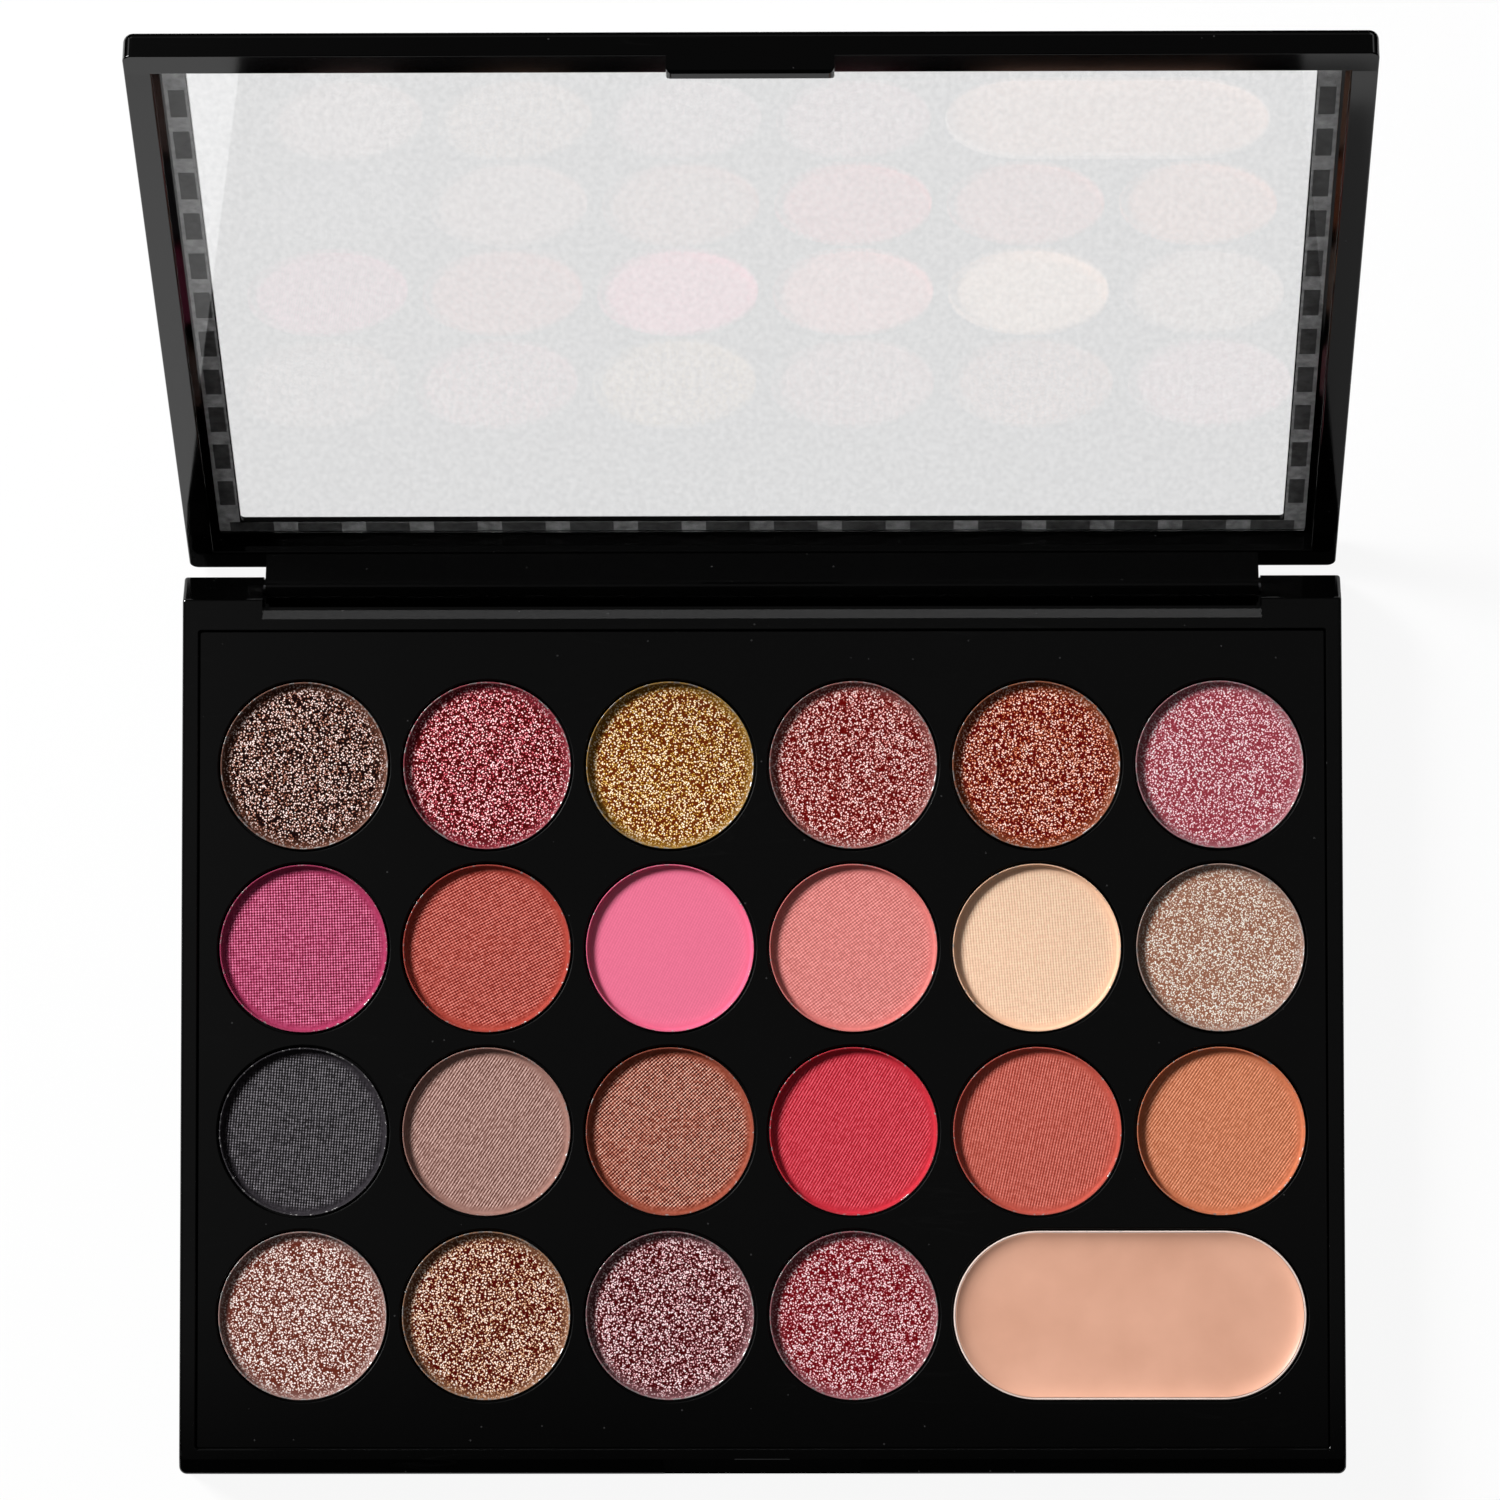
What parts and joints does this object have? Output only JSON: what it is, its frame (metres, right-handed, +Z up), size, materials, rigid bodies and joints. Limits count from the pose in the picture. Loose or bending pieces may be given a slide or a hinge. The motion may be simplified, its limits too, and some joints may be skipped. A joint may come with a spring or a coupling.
{
  "type": "eyeshadow palette",
  "caption": "Flat black eyeshadow palette, lid open: rows of round metal pans of glitter and pressed powder, a long cream pan and a clear lid window",
  "frame": {"origin": "middle of the base's flat underside, between its outer faces", "axes": "+X to the right along the hinge, +Y from the catch to the hinge, +Z up out of the pans"},
  "size_m": [0.18, 0.2061, 0.1279],
  "materials": {
    "case_black": "glossy black moulded plastic",
    "deck_black": "satin black moulded plastic",
    "window_clear": "clear plastic sheet",
    "bond_black": "dark adhesive pad",
    "glue": "cured glue",
    "pan_metal": "drawn thin metal",
    "pin_steel": "drawn steel wire",
    "cream": "poured satin cream",
    "powder_taupe_bronze": "pressed glitter",
    "powder_cranberry": "pressed glitter",
    "powder_gold": "pressed glitter",
    "powder_mauve_rose": "pressed glitter",
    "powder_copper": "pressed glitter",
    "powder_hot_pink_glitter": "pressed glitter",
    "powder_plum": "pressed powder",
    "powder_terracotta": "pressed powder",
    "powder_hot_pink": "pressed powder",
    "powder_salmon_pink": "pressed powder",
    "powder_ivory": "pressed powder",
    "powder_champagne_rose": "pressed powder",
    "powder_charcoal": "pressed powder",
    "powder_greige": "pressed powder",
    "powder_mid_brown": "pressed powder",
    "powder_red": "pressed powder",
    "powder_brick_coral": "pressed powder",
    "powder_caramel": "pressed powder",
    "powder_blush": "pressed glitter",
    "powder_bronze": "pressed glitter",
    "powder_mauve_lilac": "pressed glitter",
    "powder_raspberry": "pressed glitter"
  },
  "bodies": {
    "base": {"base_tray": "case_black", "pan_deck": "deck_black", "pan_glue_dots": "glue", "pan_row1_col1": "pan_metal", "powder_row1_col1": "powder_taupe_bronze", "pan_row1_col2": "pan_metal", "powder_row1_col2": "powder_cranberry", "pan_row1_col3": "pan_metal", "powder_row1_col3": "powder_gold", "pan_row1_col4": "pan_metal", "powder_row1_col4": "powder_mauve_rose", "pan_row1_col5": "pan_metal", "powder_row1_col5": "powder_copper", "pan_row1_col6": "pan_metal", "powder_row1_col6": "powder_hot_pink_glitter", "pan_row2_col1": "pan_metal", "powder_row2_col1": "powder_plum", "pan_row2_col2": "pan_metal", "powder_row2_col2": "powder_terracotta", "pan_row2_col3": "pan_metal", "powder_row2_col3": "powder_hot_pink", "pan_row2_col4": "pan_metal", "powder_row2_col4": "powder_salmon_pink", "pan_row2_col5": "pan_metal", "powder_row2_col5": "powder_ivory", "pan_row2_col6": "pan_metal", "powder_row2_col6": "powder_champagne_rose", "pan_row3_col1": "pan_metal", "powder_row3_col1": "powder_charcoal", "pan_row3_col2": "pan_metal", "powder_row3_col2": "powder_greige", "pan_row3_col3": "pan_metal", "powder_row3_col3": "powder_mid_brown", "pan_row3_col4": "pan_metal", "powder_row3_col4": "powder_red", "pan_row3_col5": "pan_metal", "powder_row3_col5": "powder_brick_coral", "pan_row3_col6": "pan_metal", "powder_row3_col6": "powder_caramel", "pan_row4_col1": "pan_metal", "powder_row4_col1": "powder_blush", "pan_row4_col2": "pan_metal", "powder_row4_col2": "powder_bronze", "pan_row4_col3": "pan_metal", "powder_row4_col3": "powder_mauve_lilac", "pan_row4_col4": "pan_metal", "powder_row4_col4": "powder_raspberry", "cream_pan": "pan_metal", "cream_fill": "cream", "hinge_pin_right": "pin_steel", "hinge_pin_left": "pin_steel"},
    "lid": {"lid_frame": "case_black", "lid_window": "window_clear", "window_bond_pads": "bond_black"}
  },
  "joints": [
    {"name": "lid_hinge", "type": "hinge", "parent": "base", "child": "lid", "pos_m": [0, 0.06792, 0.00528], "axis": [1, 0, 0], "range_deg": [0, 116]}
  ]
}
